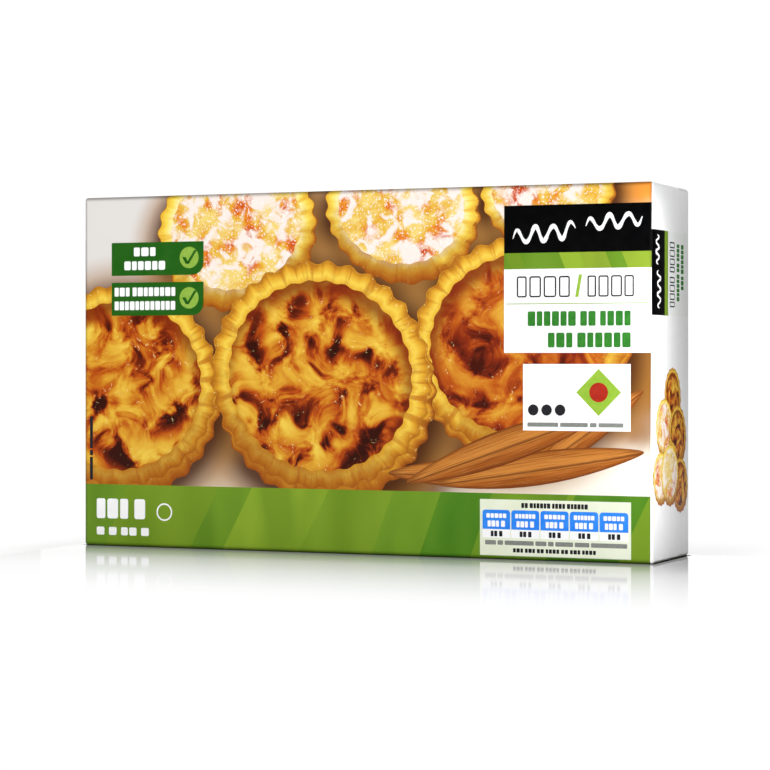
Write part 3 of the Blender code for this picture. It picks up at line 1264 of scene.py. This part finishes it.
# How strongly the floor mirrors the carton, by distance from it
MIRROR_REACH = 180.0
SHADE_REACH = 90.0  # how far the floor takes shade from the carton
SHADE_ASIDE = 2.5  # and by how much sooner that ends beside it than before it
MIRROR = [(0.0, 0.86), (0.13, 0.7), (0.22, 0.5), (0.3, 0.43), (0.58, 0.2), (0.78, 0.06), (1.0, 0.0)]
CONTACT = (0.001, 0.0)  # the floor is painted dark as a contact shadow this near the carton, and not at all that far, in m
MIRROR_FADE = 6.0  # over this length behind and left of the carton the floor stops mirroring
MIRROR_ASIDE = 98.0  # and it mirrors nothing further right of the carton than this


MIRROR_ASIDE_FULL = 0.7  # up to this share of that it mirrors fully
FULL_GLOW = 1.02  # how strongly the floor glows, out of the carton's shade and in it
SHADE_GLOW = 0.71
POLISH = 0.06  # the roughness of what the floor mirrors


def sweep():
    """White acrylic, lit from below: bright all over, shaded and glossy only close to the carton, with a
    painted contact shadow at its foot.
    """
    material = new_material("white_acrylic_sweep")

    def mixed(factor, first, second):
        return add_node(material, "MixShader", {0: factor, 1: first, 2: second})

    diffuse = add_node(material, "BsdfDiffuse", {"Color": ink("#9c9c9c")})
    dim = add_node(material, "Emission", {"Strength": SHADE_GLOW})
    close = add_node(material, "AddShader", {0: diffuse, 1: dim})
    far = add_node(material, "Emission", {"Strength": FULL_GLOW})
    gloss = add_node(material, "BsdfGlossy", {"Roughness": POLISH})
    # A painted contact shadow: a dark colour laid on the floor right at the carton's foot.
    shade = add_node(material, "BsdfDiffuse", {"Color": ink("#2c3020")})

    folded = vectors(material, "ABSOLUTE", places(material))
    outside = vectors(material, "SUBTRACT", folded, (HALF_W * MM, HALF_D * MM, 0))
    beyond = vectors(material, "MAXIMUM", outside, (0, 0, 0))
    distance = length(material, beyond)
    stretched = vectors(material, "MULTIPLY", beyond, (SHADE_ASIDE, 1, 1))
    shade_way = length(material, stretched)
    white = mixed(ease(material, shade_way, 0.0, SHADE_REACH * MM), close, far)

    reach = maths(material, "DIVIDE", distance, MIRROR_REACH * MM)
    mirror = shades(material, reach, MIRROR)
    parts = add_node(material, "SeparateXYZ", {"Vector": places(material)}, None)
    for value, start, end in (
        (parts["Y"], HALF_D + MIRROR_FADE, HALF_D),
        (parts["X"], -HALF_W - MIRROR_FADE, -HALF_W),
        (parts["X"], HALF_W + MIRROR_ASIDE, HALF_W + MIRROR_ASIDE * MIRROR_ASIDE_FULL),
    ):
        mirror = maths(material, "MULTIPLY", mirror, ease(material, value, start * MM, end * MM))
    polished = mixed(mirror, white, gloss)
    return finished(material, mixed(ease(material, distance, *CONTACT), polished, shade))


def staged_plane(name, material, size, location=(0, 0, 0), turn=(0, 0, 0)):
    """A flat sheet that isn't part of the object."""
    bm = bmesh.new()
    bmesh.ops.create_grid(bm, x_segments=1, y_segments=1, size=0.5, matrix=Matrix.Diagonal((*size, 1, 1)))
    mesh = bpy.data.meshes.new(name)
    bm.to_mesh(mesh)
    bm.free()
    mesh.materials.append(material)
    sheet = bpy.data.objects.new(name, mesh)
    bpy.context.scene.collection.objects.link(sheet)
    sheet.location = location
    sheet.rotation_euler = turn
    return sheet


def black_card():
    """Black velvet on a card, which keeps light and reflections off the carton."""
    material = new_material("black_velvet_card")
    return finished(material, add_node(material, "BsdfDiffuse", {"Color": ink("#060606")}))


def lit_card():
    """White card, lit, for the floor to mirror."""
    material = new_material("lit_white_card")
    return finished(material, add_node(material, "Emission", {"Strength": CARD_GLOW}))


CARD_GLOW = 1.28
UPRIGHT = math.pi / 2


def stage():
    """The floor, black cards outside the picture, and a lit white one behind that only the floor mirrors."""
    staged_plane("floor", sweep(), (12.0, 12.0))
    card = black_card()
    cards = [
        staged_plane("card_left", card, (1.1, 0.5), (-0.36, -0.62, 0.26), (UPRIGHT, 0, 0)),
        staged_plane("card_right", card, (1.3, 0.6), (0.22, 0.63, 0.3), (UPRIGHT, 0, UPRIGHT)),
        staged_plane("card_baffle", card, (0.07, 0.6), (0.22, -0.055, 0.3), (UPRIGHT, 0, UPRIGHT)),
        staged_plane("card_end", card, (0.62, 0.5), (-0.5, -0.21, 0.25), (UPRIGHT, 0, UPRIGHT)),
    ]
    for each in cards:
        each.visible_camera = False
    for each in cards[2:]:
        each.visible_glossy = False
    mirrored = staged_plane("card_back", lit_card(), (0.9, 0.4), (-0.25, 0.9, 0.2), (UPRIGHT, 0, 0))
    mirrored.visible_camera = False
    mirrored.visible_diffuse = False
    mirrored.visible_shadow = False


def lamp(name, power, size, location, target, spread=180):
    """A softbox, its width and height in metres and the spread of its light in degrees."""
    data = bpy.data.lights.new(name, "AREA")
    data.energy = power
    data.shape = "RECTANGLE"
    data.size, data.size_y = size
    data.spread = math.radians(spread)
    softbox = bpy.data.objects.new(name, data)
    bpy.context.scene.collection.objects.link(softbox)
    softbox.location = location
    softbox.rotation_euler = (Vector(target) - Vector(location)).to_track_quat("-Z", "Y").to_euler()
    softbox.visible_camera = False
    softbox.visible_glossy = False


SKY = [(0.0, 1.0), (0.3, 1.0), (0.7, 0.3)]  # brightness by height, from the horizon to overhead
SKY_STRENGTH = 1.05


def light():
    """A white studio, darker overhead, with a softbox for the front and a strip close to the right end."""
    world = bpy.data.worlds.new("studio")
    world.use_nodes = True
    background = world.node_tree.nodes["Background"]
    background.inputs["Strength"].default_value = SKY_STRENGTH
    heading = add_node(world, "TexCoord", output="Generated")
    height = add_node(world, "SeparateXYZ", {"Vector": heading}, "Z")
    world.node_tree.links.new(shades(world, height, SKY), background.inputs["Color"])
    bpy.context.scene.world = world
    bpy.context.scene.view_settings.view_transform = "Standard"
    right_end = HALF_W * MM
    lamp("key_softbox", 2.9, (0.6, 0.35), (0.0, -0.6, 0.18), (0, 0, 0.06))
    beside = (right_end + 0.03, -0.038, 0.07)
    lamp("end_strip", 0.0235, (0.015, 0.12), beside, (right_end, -0.022, 0.063), 115)
    above = (right_end + 0.045, 0.015, 0.175)
    lamp("end_overhead", 0.025, (0.04, 0.04), above, (right_end, 0.01, 0.12))
    lamp("back_softbox", 2.2, (0.6, 0.35), (0.0, 0.75, 0.3), (0, 0, 0.06))


build()
camera()
stage()
light()
